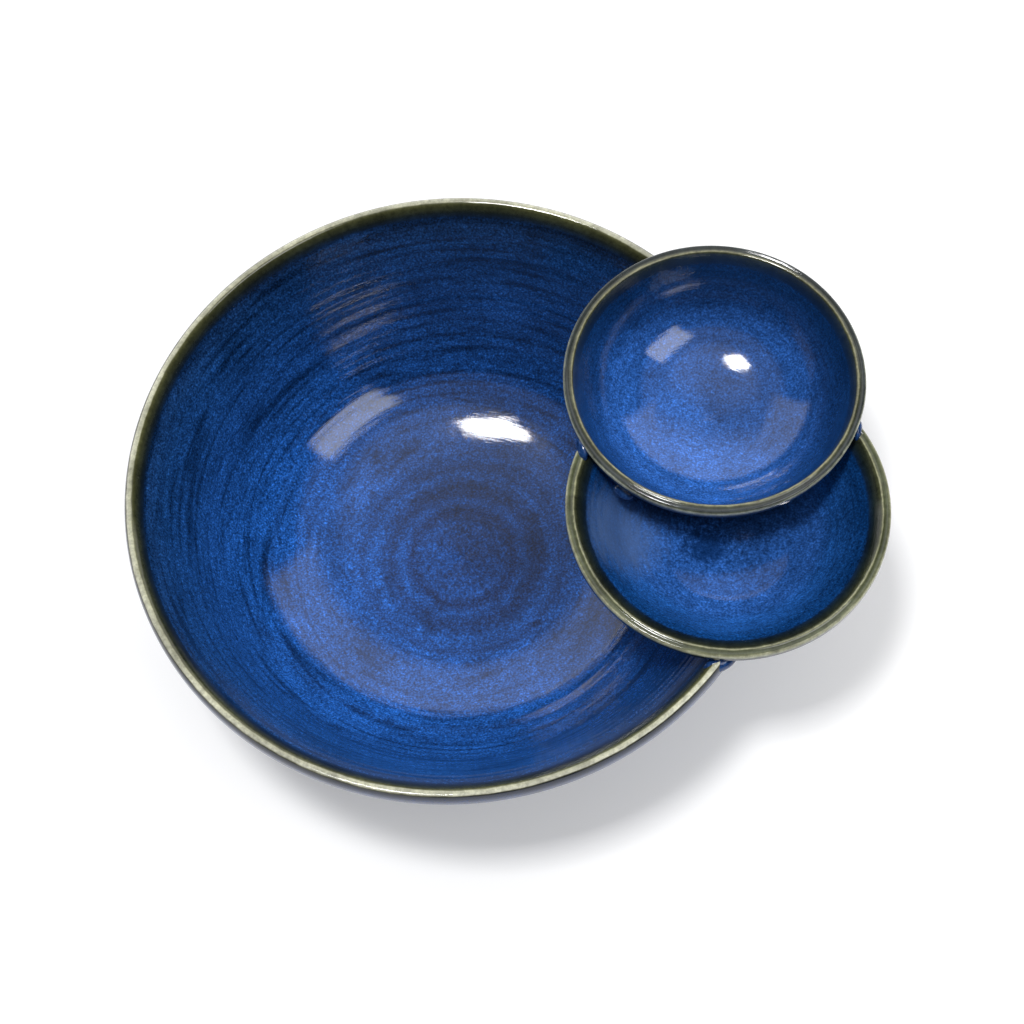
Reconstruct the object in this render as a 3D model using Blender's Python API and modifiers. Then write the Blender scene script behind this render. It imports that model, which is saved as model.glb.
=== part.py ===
"""Chip and dip server in stoneware: one large thrown bowl with two small thrown dip bowls set
into its rim, the upper dip bowl overlapping the lower one. Where a bowl meets another its wall
is cut away to fit, and coils of clay close the seams. Metres, +Z up, the foot stands on z = 0.
The origin is under the middle of the whole footprint and the dip bowls lie towards +X."""

import math
from dataclasses import dataclass

import bmesh
import bpy
import numpy as np

OBJECT_NAME = "chip_and_dip_server"

GAP = 0.0003  # clearance between neighbouring pieces
LID = 0.002  # how far a cutter rises above the rim of the bowl it stands for
OUTER_COIL_RADIUS = 0.0035  # clay coil outside the chip bowl's wall, under the dip bowls
INNER_COIL_RADIUS = 0.0048  # clay coil inside that wall, in the sharper corner
VALLEY_COIL_RADIUS = 0.0032  # clay coils outside, in the valley between the two dip bowls
DIP_COIL_RADIUS = 0.0042  # clay coil inside the lower dip bowl, against the upper one
COIL_SPACING = 0.005  # distance between points along a coil
COIL_START = 0.003  # a coil starts this far below the lip
WALL_POINTS = 7  # points that a wall's curve is drawn with
TURN_POINTS = 7  # stretches that the rounding between floor and wall is drawn with
FINE_POINTS = 60  # stretches of a wall's curve while its lower end is found
FOOT_SOFTENING = 0.0008  # chamfer along the edges of the foot ring
MOULD_MARGIN = 0.03  # how far the solid around a hollow reaches beyond the lip and the table
SEAM_SWEEP = 100.0  # a seam is looked for this far to each side of its middle, degrees
SEAM_TURN = 0.25  # step around the axis while looking, degrees
SEAM_DROP = 0.0005  # step down the wall while looking
WELD = 0.00001  # points nearer than this are one point


@dataclass
class Bowl:
    """A thrown bowl. Radii and heights are from its own axis and from the table."""

    name: str
    axis: tuple
    rim_radius: float  # outside of the lip
    rim_height: float
    depth: float  # from the lip down to the middle of the floor, inside
    floor_radius: float  # where the floor and the wall would meet without the turn's rounding
    floor_rise: float  # how much higher the floor would be there than in the middle
    turn_length: float  # how far the rounding of that turn reaches each way
    foot_slope: float  # slope that the wall would have at its foot, radians
    rim_slope: float  # slope of the wall at the lip, radians
    wall: float
    lip_width: float
    lip_rounding: float
    collar: float  # height of the upright band outside, under the lip
    steps: int
    foot_radius: float = 0.0  # outside of the foot ring; 0 for a bowl without one
    foot_width: float = 0.0
    foot_height: float = 0.0


CHIP = Bowl(
    name="chip_bowl",
    axis=(0.0, 0.0),
    rim_radius=0.1532,
    rim_height=0.106,
    depth=0.098,
    floor_radius=0.103,
    floor_rise=0.0068,
    turn_length=0.046,
    foot_slope=math.radians(66),
    rim_slope=math.radians(43),
    wall=0.0054,
    lip_width=0.0056,
    lip_rounding=0.0024,
    collar=0.0055,
    steps=72,
    foot_radius=0.072,
    foot_width=0.0085,
    foot_height=0.0035,
)
LOWER_DIP = Bowl(
    name="lower_dip_bowl",
    axis=(0.1245, -0.0271),
    rim_radius=0.0741,
    rim_height=0.112,
    depth=0.031,
    floor_radius=0.044,
    floor_rise=0.001,
    turn_length=0.012,
    foot_slope=math.radians(56),
    rim_slope=math.radians(40),
    wall=0.0046,
    lip_width=0.0050,
    lip_rounding=0.0013,
    collar=0.0030,
    steps=52,
)
UPPER_DIP = Bowl(
    name="upper_dip_bowl",
    axis=(0.1253, 0.0357),
    rim_radius=0.0704,
    rim_height=0.118,
    depth=0.045,
    floor_radius=0.0525,
    floor_rise=0.008,
    turn_length=0.026,
    foot_slope=math.radians(70),
    rim_slope=math.radians(44),
    wall=0.0046,
    lip_width=0.0050,
    lip_rounding=0.0013,
    collar=0.0030,
    steps=52,
)

# The chip bowl's axis stands this far to -X, so that the footprint is centred on the origin.
SHIFT = (CHIP.rim_radius - LOWER_DIP.axis[0] - LOWER_DIP.rim_radius) / 2


def clear_scene():
    for item in list(bpy.data.objects):
        bpy.data.objects.remove(item, do_unlink=True)


def make_collection(name):
    collection = bpy.data.collections.new(name)
    bpy.context.scene.collection.children.link(collection)
    return collection


def make_material(name, colour, roughness):
    material = bpy.data.materials.new(name)
    material.use_nodes = True
    shader = material.node_tree.nodes["Principled BSDF"]
    shader.inputs["Base Color"].default_value = (*colour, 1.0)
    shader.inputs["Roughness"].default_value = roughness
    shader.inputs["Metallic"].default_value = 0.0
    return material


def bezier(start, control, end, count):
    """Points along a quadratic curve, both ends included."""
    points = []
    for i in range(count + 1):
        t = i / count
        weights = ((1 - t) ** 2, 2 * t * (1 - t), t * t)
        points.append(
            tuple(
                weights[0] * start[k] + weights[1] * control[k] + weights[2] * end[k]
                for k in range(2)
            )
        )
    return points


def arc(centre, radius, from_angle, to_angle, count):
    """Points along an arc, both ends included."""
    angles = np.linspace(from_angle, to_angle, count + 1)
    return [(centre[0] + radius * math.cos(a), centre[1] + radius * math.sin(a)) for a in angles]


def offset(points, distance):
    """The polyline moved to its left by distance, with points on the axis kept on the axis."""
    moved = []
    last = len(points) - 1
    for i, (r, z) in enumerate(points):
        before = points[max(i - 1, 0)]
        after = points[min(i + 1, last)]
        normals = []
        for a, b in ((before, (r, z)), ((r, z), after)):
            length = math.hypot(b[0] - a[0], b[1] - a[1])
            if length > 0:
                normals.append(((a[1] - b[1]) / length, (b[0] - a[0]) / length))
        nr = sum(n[0] for n in normals) / len(normals)
        nz = sum(n[1] for n in normals) / len(normals)
        stretch = distance / max(nr * nr + nz * nz, 0.5)
        new_r = r + nr * stretch if r > 0 else 0.0
        moved.append((new_r, z + nz * stretch))
    return moved


def turn_point(bowl):
    """Where the floor inside turns up into the wall."""
    return (bowl.floor_radius, bowl.rim_height - bowl.depth + bowl.floor_rise)


def lip_arc(bowl, inner):
    """One rounded edge of the lip: from the wall up to the top, or from the top outwards."""
    height = bowl.rim_height - bowl.lip_rounding
    if inner:
        centre = (bowl.rim_radius - bowl.lip_width + bowl.lip_rounding, height)
        return arc(centre, bowl.lip_rounding, math.pi / 2 + bowl.rim_slope, math.pi / 2, 3)
    centre = (bowl.rim_radius - bowl.lip_rounding, height)
    return arc(centre, bowl.lip_rounding, math.pi / 2, 0, 3)


def flaring_curve(low, high, bowl, count):
    """A wall in section, from low up to high: steep at the bottom and flaring at the top."""
    run, rise = high[0] - low[0], high[1] - low[1]
    foot, rim = math.tan(bowl.foot_slope), math.tan(bowl.rim_slope)
    reach = (rise - run * rim) / (foot - rim)  # where the two slopes cross
    control = (low[0] + reach, low[1] + reach * foot)
    return bezier(low, control, high, count)


def wall_above_turn(low, high, bowl):
    """The wall's curve above the rounding of the turn, lowest point first."""
    fine = flaring_curve(low, high, bowl, FINE_POINTS)
    above = [p for p in fine if math.dist(p, low) > bowl.turn_length]
    kept = np.linspace(0, len(above) - 1, WALL_POINTS).round().astype(int)
    return [above[i] for i in kept]


def floor_height(bowl, radius):
    """Height of the dished floor inside."""
    return bowl.rim_height - bowl.depth + bowl.floor_rise * (radius / bowl.floor_radius) ** 2


def inner_outline(bowl):
    """Inside of the bowl, from the middle of the floor to the top of the lip."""
    start = bowl.floor_radius - bowl.turn_length
    floor = [(start * i / 3, floor_height(bowl, start * i / 3)) for i in range(4)]
    low = turn_point(bowl)
    wall = wall_above_turn(low, lip_arc(bowl, True)[0], bowl)
    turn = bezier(floor[-1], low, wall[0], TURN_POINTS)
    return floor + turn[1:] + wall[1:-1] + lip_arc(bowl, True)


def underside_outline(bowl):
    """Outside of the bowl, from the bottom of its collar down to the middle of the underside."""
    collar = (bowl.rim_radius, bowl.rim_height - bowl.lip_rounding - bowl.collar)
    low = turn_point(bowl)
    thickness = (bowl.wall * math.sin(bowl.foot_slope), bowl.wall * math.cos(bowl.foot_slope))
    shell_low = (low[0] + thickness[0], low[1] - thickness[1])
    wall = wall_above_turn(shell_low, collar, bowl)[::-1]
    if bowl.foot_radius:
        bottom = foot_outline(bowl)
    else:
        start = bowl.floor_radius - bowl.turn_length
        bottom = [(r, floor_height(bowl, r) - bowl.wall) for r in (start, start / 2, 0.0)]
    return wall + bezier(wall[-1], shell_low, bottom[0], TURN_POINTS)[1:] + bottom[1:]


def foot_outline(bowl):
    """The foot ring with softened edges, and the recess inside it."""
    outside, inside = bowl.foot_radius, bowl.foot_radius - bowl.foot_width
    soft = FOOT_SOFTENING
    return [
        (outside, bowl.foot_height),
        (outside, soft),
        (outside - soft, 0.0),
        (inside + soft, 0.0),
        (inside, soft),
        (inside - soft, bowl.foot_height),
        (0.0, bowl.foot_height),
    ]


def outer_outline(bowl):
    """Outside of the bowl, from the top of the lip to the middle of the underside."""
    return lip_arc(bowl, False) + underside_outline(bowl)


def bowl_outline(bowl):
    """The closed shell of the bowl."""
    return inner_outline(bowl) + outer_outline(bowl)


def filled_outline(bowl):
    """Everything the bowl would hold if it were full, and its wall, with the clearance."""
    top = bowl.rim_height + LID
    outside = offset(outer_outline(bowl), GAP)
    return [(0.0, top), (outside[0][0], top)] + outside


def mould_outline(bowl):
    """Everything around the bowl's hollow, with the clearance."""
    edge = bowl.rim_radius + MOULD_MARGIN
    top = bowl.rim_height + LID
    inside = offset(inner_outline(bowl), GAP)
    return inside + [(inside[-1][0], top), (edge, top), (edge, -MOULD_MARGIN), (0.0, -MOULD_MARGIN)]


def turned(name, outline, bowl, collection):
    """A solid of revolution about the bowl's axis."""
    mesh = bpy.data.meshes.new(name)
    edges = [(i, i + 1) for i in range(len(outline) - 1)]
    mesh.from_pydata([(r, 0.0, z) for r, z in outline], edges, [])
    item = bpy.data.objects.new(name, mesh)
    collection.objects.link(item)
    item.location = (bowl.axis[0] + SHIFT, bowl.axis[1], 0.0)
    screw = item.modifiers.new("turn", "SCREW")
    screw.angle = 2 * math.pi
    screw.steps = bowl.steps
    screw.render_steps = bowl.steps
    screw.use_merge_vertices = True
    screw.merge_threshold = WELD
    screw.use_smooth_shade = True
    return item


def as_cutter(item):
    item.hide_render = True
    item.display_type = "WIRE"
    return item


def cut(item, cutters):
    for cutter in cutters:
        boolean = item.modifiers.new(f"fit_{cutter.name}", "BOOLEAN")
        boolean.operation = "DIFFERENCE"
        boolean.solver = "EXACT"
        boolean.object = cutter


def is_within(bowl, point):
    """Whether a point lies in the bowl's wall or in what it would hold."""
    radius = math.hypot(point[0] - bowl.axis[0], point[1] - bowl.axis[1])
    if radius > bowl.rim_radius or point[2] > bowl.rim_height:
        return False
    rising = underside_outline(bowl)[::-1]
    return point[2] > np.interp(radius, [p[0] for p in rising], [p[1] for p in rising])


def seam_route(bowl, outline, others, middle):
    """Where a bowl's surface leaves the other bowls, going round from one rim to the other.

    outline runs from the lip down, and middle is the direction of the others from the axis."""
    lengths = [0.0]
    for a, b in zip(outline, outline[1:]):
        lengths.append(lengths[-1] + math.dist(a, b))
    stations = np.arange(COIL_START, lengths[-1], SEAM_DROP)
    radii = np.interp(stations, lengths, [p[0] for p in outline])
    heights = np.interp(stations, lengths, [p[1] for p in outline])
    route = []
    for azimuth in np.radians(np.arange(-SEAM_SWEEP, SEAM_SWEEP, SEAM_TURN)) + middle:
        c, s = math.cos(azimuth), math.sin(azimuth)
        points = [
            (bowl.axis[0] + r * c, bowl.axis[1] + r * s, z) for r, z in zip(radii, heights)
        ]
        covered = False
        for point in points:
            if any(is_within(other, point) for other in others):
                covered = True
            elif covered:
                route.append(point)
                break
            else:
                break
    return evenly_spaced(route)


def evenly_spaced(route):
    points = np.array(route)
    lengths = np.concatenate([[0], np.cumsum(np.linalg.norm(np.diff(points, axis=0), axis=1))])
    stations = np.linspace(0, lengths[-1], max(3, round(lengths[-1] / COIL_SPACING) + 1))
    return np.stack([np.interp(stations, lengths, points[:, k]) for k in range(3)], axis=1)


def coil(name, route, radius, collection):
    """A round coil of clay along a route, as a closed mesh."""
    curve = bpy.data.curves.new(name, "CURVE")
    curve.dimensions = "3D"
    curve.bevel_depth = radius
    curve.bevel_resolution = 2
    curve.use_fill_caps = True
    spline = curve.splines.new("POLY")
    spline.points.add(len(route) - 1)
    for point, (x, y, z) in zip(spline.points, route):
        point.co = (x + SHIFT, y, z, 1.0)
    guide = bpy.data.objects.new(f"{name}_guide", curve)
    bpy.context.scene.collection.objects.link(guide)
    evaluated = guide.evaluated_get(bpy.context.evaluated_depsgraph_get())
    mesh = bpy.data.meshes.new_from_object(evaluated)
    item = bpy.data.objects.new(name, mesh)
    item.matrix_world = guide.matrix_world
    bpy.data.objects.remove(guide, do_unlink=True)
    form = bmesh.new()
    form.from_mesh(mesh)
    bmesh.ops.remove_doubles(form, verts=form.verts, dist=WELD)
    bmesh.ops.recalc_face_normals(form, faces=form.faces)
    form.to_mesh(mesh)
    form.free()
    collection.objects.link(item)
    return item


def direction(bowl, other):
    return math.atan2(other.axis[1] - bowl.axis[1], other.axis[0] - bowl.axis[0])


def distance_from_wall(point, outline):
    """How far a point stands outside the chip bowl's surface, along the radius."""
    rising = sorted(outline, key=lambda p: p[1])
    radius = math.hypot(point[0] - CHIP.axis[0], point[1] - CHIP.axis[1])
    return radius - np.interp(point[2], [p[1] for p in rising], [p[0] for p in rising])


def main():
    clear_scene()
    parts = make_collection(OBJECT_NAME)
    cutters = make_collection(f"{OBJECT_NAME}_cutters")
    glaze = make_material("cobalt_glaze", (0.018, 0.065, 0.32), 0.12)
    dip_glaze = make_material("dip_cobalt_glaze", (0.022, 0.085, 0.42), 0.12)
    seam_glaze = make_material("seam_glaze", (0.010, 0.030, 0.16), 0.10)

    # Cutters: each bowl filled to its rim, and the space around a hollow.
    filled = {
        bowl.name: as_cutter(turned(f"filled_{bowl.name}", filled_outline(bowl), bowl, cutters))
        for bowl in (CHIP, LOWER_DIP, UPPER_DIP)
    }
    around_chip = as_cutter(turned("around_chip_bowl", mould_outline(CHIP), CHIP, cutters))
    around_dip = as_cutter(turned("around_dip_bowl", mould_outline(LOWER_DIP), LOWER_DIP, cutters))
    chip_body, lower_body, upper_body = filled.values()

    # Bowls: the upper dip bowl is whole, and the others are cut away to take it.
    made = {}
    for bowl, seats in (
        (CHIP, [lower_body, upper_body]),
        (LOWER_DIP, [upper_body]),
        (UPPER_DIP, []),
    ):
        made[bowl.name] = turned(bowl.name, bowl_outline(bowl), bowl, parts)
        made[bowl.name].data.materials.append(glaze if bowl is CHIP else dip_glaze)
        cut(made[bowl.name], seats)

    # Coils along both faces of the chip bowl's wall, under the dip bowls.
    middle = (direction(CHIP, LOWER_DIP) + direction(CHIP, UPPER_DIP)) / 2
    dips = [LOWER_DIP, UPPER_DIP]
    outside_route = seam_route(CHIP, underside_outline(CHIP), dips, middle)
    inside_route = seam_route(CHIP, inner_outline(CHIP)[::-1], dips, middle)
    outer_coil = coil("outer_seam_coil", outside_route, OUTER_COIL_RADIUS, parts)
    inner_coil = coil("inner_seam_coil", inside_route, INNER_COIL_RADIUS, parts)
    cut(outer_coil, [chip_body, lower_body, upper_body])
    cut(inner_coil, [around_chip, lower_body, upper_body])
    outer_seat = coil("outer_coil_seat", outside_route, OUTER_COIL_RADIUS + GAP, cutters)
    inner_seat = coil("inner_coil_seat", inside_route, INNER_COIL_RADIUS + GAP, cutters)
    as_cutter(outer_seat)
    as_cutter(inner_seat)

    # Coils between the two dip bowls: one inside the lower bowl, and one in the valley outside
    # on each side of the chip bowl's wall.
    towards_upper = direction(LOWER_DIP, UPPER_DIP)
    dip_route = seam_route(LOWER_DIP, inner_outline(LOWER_DIP)[::-1], [UPPER_DIP], towards_upper)
    dip_coil = coil("dip_seam_coil", dip_route, DIP_COIL_RADIUS, parts)
    cut(dip_coil, [around_dip, upper_body])
    valley = seam_route(LOWER_DIP, underside_outline(LOWER_DIP), [UPPER_DIP], towards_upper)
    beyond = [p for p in valley if distance_from_wall(p, outer_outline(CHIP)) > 0]
    within = [p for p in valley if distance_from_wall(p, inner_outline(CHIP)) < 0]
    outer_valley = coil("outer_valley_coil", beyond, VALLEY_COIL_RADIUS, parts)
    inner_valley = coil("inner_valley_coil", within, VALLEY_COIL_RADIUS, parts)
    cut(outer_valley, [chip_body, lower_body, upper_body, outer_seat])
    cut(inner_valley, [around_chip, lower_body, upper_body, inner_seat])

    for item in (outer_coil, inner_coil, dip_coil, outer_valley, inner_valley):
        item.data.materials.append(seam_glaze)
        item.data.shade_smooth()


main()
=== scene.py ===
"""Looks of the chip and dip server: thrown and glazed bowls with finger rings, clay fillets
smeared along the seams, a pale floor and soft studio light. Metres, in the row frame."""

import math
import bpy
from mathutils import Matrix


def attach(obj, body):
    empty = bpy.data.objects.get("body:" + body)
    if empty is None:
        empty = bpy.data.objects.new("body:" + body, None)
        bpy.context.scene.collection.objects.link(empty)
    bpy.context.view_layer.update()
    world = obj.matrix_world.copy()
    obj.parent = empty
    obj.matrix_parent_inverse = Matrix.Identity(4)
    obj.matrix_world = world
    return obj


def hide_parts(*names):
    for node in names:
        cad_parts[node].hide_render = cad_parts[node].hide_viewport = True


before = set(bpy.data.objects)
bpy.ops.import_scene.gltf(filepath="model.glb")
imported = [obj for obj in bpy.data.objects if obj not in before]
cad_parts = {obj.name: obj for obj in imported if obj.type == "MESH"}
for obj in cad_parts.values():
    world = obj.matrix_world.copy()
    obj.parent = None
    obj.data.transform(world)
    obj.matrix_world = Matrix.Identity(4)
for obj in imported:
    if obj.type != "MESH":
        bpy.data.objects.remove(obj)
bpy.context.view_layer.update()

from types import SimpleNamespace

import bpy
import numpy as np
from mathutils import Matrix, Vector

CHIP = SimpleNamespace(
    name="chip_bowl",
    axis=(0.0, 0.0),
    rim_radius=0.1532,
    rim_height=0.106,
    depth=0.098,
    floor_radius=0.103,
    floor_rise=0.0068,
    turn_length=0.046,
    foot_slope=math.radians(66),
    rim_slope=math.radians(43),
    wall=0.0054,
    lip_width=0.0056,
    lip_rounding=0.0024,
    collar=0.0055,
    foot_radius=0.072,
    foot_width=0.0085,
    foot_height=0.0035,
    outside_length=0.118,
    lip_channel=0.0,
    lip_drop=0.0060,
    calm_radius=0.080,
    steps=320,
    inside_step=0.0011,
    ring_pitch=0.0066,
    ring_depth=0.00040,
    seed=3,
)
LOWER_DIP = SimpleNamespace(
    name="lower_dip_bowl",
    axis=(0.1245, -0.0271),
    rim_radius=0.0741,
    rim_height=0.112,
    depth=0.031,
    floor_radius=0.044,
    floor_rise=0.001,
    turn_length=0.012,
    foot_slope=math.radians(56),
    rim_slope=math.radians(40),
    wall=0.0046,
    lip_width=0.0050,
    lip_rounding=0.0013,
    collar=0.0030,
    foot_radius=0.0,
    outside_length=0.07,
    lip_channel=0.0004,
    lip_drop=0.0020,
    calm_radius=0.034,
    steps=240,
    inside_step=0.0008,
    ring_pitch=0.0040,
    ring_depth=0.00008,
    seed=5,
)
UPPER_DIP = SimpleNamespace(
    name="upper_dip_bowl",
    axis=(0.1253, 0.0357),
    rim_radius=0.0704,
    rim_height=0.118,
    depth=0.045,
    floor_radius=0.0525,
    floor_rise=0.008,
    turn_length=0.026,
    foot_slope=math.radians(70),
    rim_slope=math.radians(44),
    wall=0.0046,
    lip_width=0.0050,
    lip_rounding=0.0013,
    collar=0.0030,
    foot_radius=0.0,
    outside_length=0.07,
    lip_channel=0.0004,
    lip_drop=0.0020,
    calm_radius=0.036,
    steps=240,
    inside_step=0.0008,
    ring_pitch=0.0038,
    ring_depth=0.00006,
    seed=8,
)
SHIFT = (CHIP.rim_radius - LOWER_DIP.axis[0] - LOWER_DIP.rim_radius) / 2

# Mesh spacing.
FLOOR_POINTS = 60
WALL_POINTS = 400
UNDERSIDE_POINTS = 300
TURN_POINTS = 60
BOTTOM_POINTS = 30
LIP_STEP = 0.00032
LIP_SURROUND = (0.004, 0.006)  # the fine spacing runs on this far inside and outside the lip
OUTSIDE_STEP = 0.0024
LEAST_STEP = 0.00012
FOOT_POINTS = BOTTOM_POINTS + 6  # the end of the outline that is kept point by point
FOOT_SOFTENING = 0.0008

# Cuts and seams.
SINK = 0.0015  # how far a cut wall runs on into its neighbour's wall
CUTTER_MARGIN = 0.004  # how far a cutter stands above its bowl's rim
CUTTER_POINTS = 90
ROUTE_STEP = 0.0015
COIL_REACH = 0.0045
INNER_COIL_REACH = 0.0046
COIL_BELLY = 0.18
COIL_EDGE_SINK = 0.00015
COIL_SIDE_SINK = 0.0016
COIL_BACK_SINK = 0.0024
COIL_WAVES = (0.011, 0.017, 0.029, 0.041)
WALL_OVERLAP = 0.002  # how far a valley coil runs on into the chip bowl's wall

# Unevenness of the throwing.
RING_WANDER = 0.30
RELIEF_ON_FLOOR, RELIEF_GAIN = 0.04, 0.30
FINE_SHARE, FINE_PITCH = 0.05, 0.31  # fine lines, as shares of the rings' depth and pitch
SWELL = 0.00009
OUTSIDE_SWELL = 0.00018
RIM_WAVER = 0.0009  # as a share of the radius
LIP_WAVER = 0.00022
WAVER_LIFT = 1.2


# ---------------------------------------------------------------- outlines


def bezier(start, control, end, count):
    t = np.linspace(0, 1, count + 1)[:, None]
    start, control, end = np.array(start), np.array(control), np.array(end)
    return (1 - t) ** 2 * start + 2 * t * (1 - t) * control + t * t * end


def arc(centre, radius, from_angle, to_angle, count):
    a = np.linspace(from_angle, to_angle, count + 1)
    return np.stack([centre[0] + radius * np.cos(a), centre[1] + radius * np.sin(a)], axis=1)


def turn_point(bowl):
    return np.array([bowl.floor_radius, bowl.rim_height - bowl.depth + bowl.floor_rise])


def lip_arc(bowl, inner, count=12):
    """One rounded edge of the lip; outside it drops further than it goes out."""
    if inner:
        height = bowl.rim_height - bowl.lip_rounding
        centre = (bowl.rim_radius - bowl.lip_width + bowl.lip_rounding, height)
        start = math.pi / 2 + bowl.rim_slope
        return arc(centre, bowl.lip_rounding, start, math.pi / 2, count)
    points = arc((0.0, 0.0), 1.0, math.pi / 2, 0, count)
    edge = (bowl.rim_radius - bowl.lip_rounding, bowl.rim_height - bowl.lip_drop)
    return points * np.array([bowl.lip_rounding, bowl.lip_drop]) + np.array(edge)


def flaring_curve(low, high, bowl, count):
    """A wall that leaves the low point at the foot slope and meets the high one at the rim slope."""
    run, rise = high[0] - low[0], high[1] - low[1]
    foot, rim = math.tan(bowl.foot_slope), math.tan(bowl.rim_slope)
    reach = (rise - run * rim) / (foot - rim)
    return bezier(low, (low[0] + reach, low[1] + reach * foot), high, count)


def floor_height(bowl, radius):
    return bowl.rim_height - bowl.depth + bowl.floor_rise * (radius / bowl.floor_radius) ** 2


def inner_outline(bowl):
    """Inside, from the middle of the floor to the top of the lip."""
    start = bowl.floor_radius - bowl.turn_length
    radii = np.linspace(0, start, FLOOR_POINTS)
    floor = np.stack([radii, floor_height(bowl, radii)], axis=1)
    low = turn_point(bowl)
    wall = flaring_curve(low, lip_arc(bowl, True)[0], bowl, WALL_POINTS)
    wall = wall[np.linalg.norm(wall - low, axis=1) > bowl.turn_length]
    turn = bezier(floor[-1], low, wall[0], TURN_POINTS)
    return np.concatenate([floor, turn[1:], wall[1:-1], lip_arc(bowl, True)])


def lip_top(bowl):
    """The top of the lip, between its rounded edges, hollowed where it has a channel."""
    from_radius = bowl.rim_radius - bowl.lip_width + bowl.lip_rounding
    to_radius = bowl.rim_radius - bowl.lip_rounding
    t = np.linspace(0, 1, 14)[1:-1]
    heights = bowl.rim_height - bowl.lip_channel * np.sin(math.pi * t) ** 2
    return np.stack([from_radius + (to_radius - from_radius) * t, heights], axis=1)


def underside_outline(bowl):
    """Outside, from the bottom of the collar to the middle of the underside."""
    collar = np.array([bowl.rim_radius, bowl.rim_height - bowl.lip_rounding - bowl.collar])
    low = turn_point(bowl)
    slope = bowl.foot_slope
    shell_low = low + bowl.wall * np.array([math.sin(slope), -math.cos(slope)])
    wall = flaring_curve(shell_low, collar, bowl, UNDERSIDE_POINTS)[::-1]
    wall = wall[np.linalg.norm(wall - shell_low, axis=1) > bowl.turn_length]
    if bowl.foot_radius:
        bottom = foot_outline(bowl)
    else:
        radii = np.linspace(bowl.floor_radius - bowl.turn_length, 0, BOTTOM_POINTS)
        bottom = np.stack([radii, floor_height(bowl, radii) - bowl.wall], axis=1)
    turn = bezier(wall[-1], shell_low, bottom[0], TURN_POINTS)
    return np.concatenate([wall, turn[1:], bottom[1:]])


def foot_outline(bowl):
    """The turned foot ring and the flat recess inside it."""
    outside, inside = bowl.foot_radius, bowl.foot_radius - bowl.foot_width
    soft = FOOT_SOFTENING
    recess = [(r, bowl.foot_height) for r in np.linspace(inside - soft, 0, BOTTOM_POINTS)]
    ring = [
        (outside, bowl.foot_height),
        (outside, soft),
        (outside - soft, 0.0),
        (inside + soft, 0.0),
        (inside, soft),
    ]
    return np.array(ring + recess)


def outer_outline(bowl):
    return np.concatenate([lip_arc(bowl, False), underside_outline(bowl)])


def lengths_of(points):
    steps = np.linalg.norm(np.diff(points, axis=0), axis=1)
    return np.concatenate([[0], np.cumsum(steps)])


def resampled(points, stations):
    """The polyline read at the given lengths along it."""
    lengths = lengths_of(points)
    return np.stack([np.interp(stations, lengths, points[:, k]) for k in range(2)], axis=1)


def offset(points, distance):
    """The polyline moved to its left by distance, with points on the axis kept there."""
    tangent = np.gradient(points, axis=0)
    tangent /= np.linalg.norm(tangent, axis=1)[:, None]
    moved = points + distance * np.stack([-tangent[:, 1], tangent[:, 0]], axis=1)
    moved[points[:, 0] < 1e-9, 0] = 0.0
    return moved


# ---------------------------------------------------------------- throwing marks


def waves(azimuth, along, seed, count, around, pitch):
    """Smooth random waves between about -1 and 1 that close on themselves around the bowl."""
    random = np.random.default_rng(seed)
    total = np.zeros(np.broadcast(azimuth, along).shape)
    for _ in range(count):
        k = random.integers(0, around + 1)
        q = random.uniform(-1, 1) * 2 * math.pi / pitch
        total += np.cos(k * azimuth + q * along + random.uniform(0, 2 * math.pi))
    return total / math.sqrt(count)


def rings(bowl, azimuth, along):
    """Height of the finger rings, 0 in a groove and 1 on a ridge, winding up as a spiral."""
    drift = RING_WANDER * waves(azimuth, along, bowl.seed, 9, 3, 0.035)
    phase = along / bowl.ring_pitch + azimuth / (2 * math.pi) + drift
    return 1 - np.abs(np.sin(math.pi * phase))


def ring_strength(bowl, azimuth, along):
    """How strongly the rings stand out: uneven, and fading out near the lip."""
    level = inside_length(bowl) - along
    uneven = 0.75 + 0.80 * waves(azimuth, along, bowl.seed + 40, 12, 4, 0.024)
    fade_at_lip = np.clip((level - 0.006) / 0.010, 0, 1)
    return np.clip(uneven, 0.05, 2) * fade_at_lip


def relief(bowl, along):
    """The share of a ring's depth that the surface has: almost none on the floor."""
    wall = np.clip(along / bowl.calm_radius - 1, 0, 0.5) * 2
    return RELIEF_ON_FLOOR + RELIEF_GAIN * wall * wall * (3 - 2 * wall)


def inside_length(bowl):
    return lengths_of(inner_outline(bowl))[-1]


def displacement(bowl, azimuth, along):
    """How far the surface stands from its clean outline, out of the clay."""
    crest = inside_length(bowl)
    inside = along < crest
    depth = bowl.ring_depth * relief(bowl, along)
    height = depth * rings(bowl, azimuth, along) * ring_strength(bowl, azimuth, along)
    fine_phase = along / (bowl.ring_pitch * FINE_PITCH) + azimuth / (2 * math.pi)
    fine = FINE_SHARE * depth * np.sin(2 * math.pi * fine_phase)
    fine *= np.clip((crest - along - 0.004) / 0.01, 0, 1)
    swell = SWELL * waves(azimuth, along, bowl.seed + 80, 8, 3, 0.09)
    swell *= np.clip((crest - along - 0.003) / 0.01, 0, 1)
    thrown = height + fine + swell - 0.15 * bowl.ring_depth
    # The outside is only uneven between the lip and the foot.
    below_lip = np.clip((along - crest - 0.012) / 0.01, 0, 1)
    above_foot = np.clip((crest + bowl.lip_width + bowl.outside_length - along) / 0.01, 0, 1)
    outer = OUTSIDE_SWELL * waves(azimuth, along, bowl.seed + 20, 8, 2, 0.012) * below_lip * above_foot
    return np.where(inside, thrown, outer)


# ---------------------------------------------------------------- meshes


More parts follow.
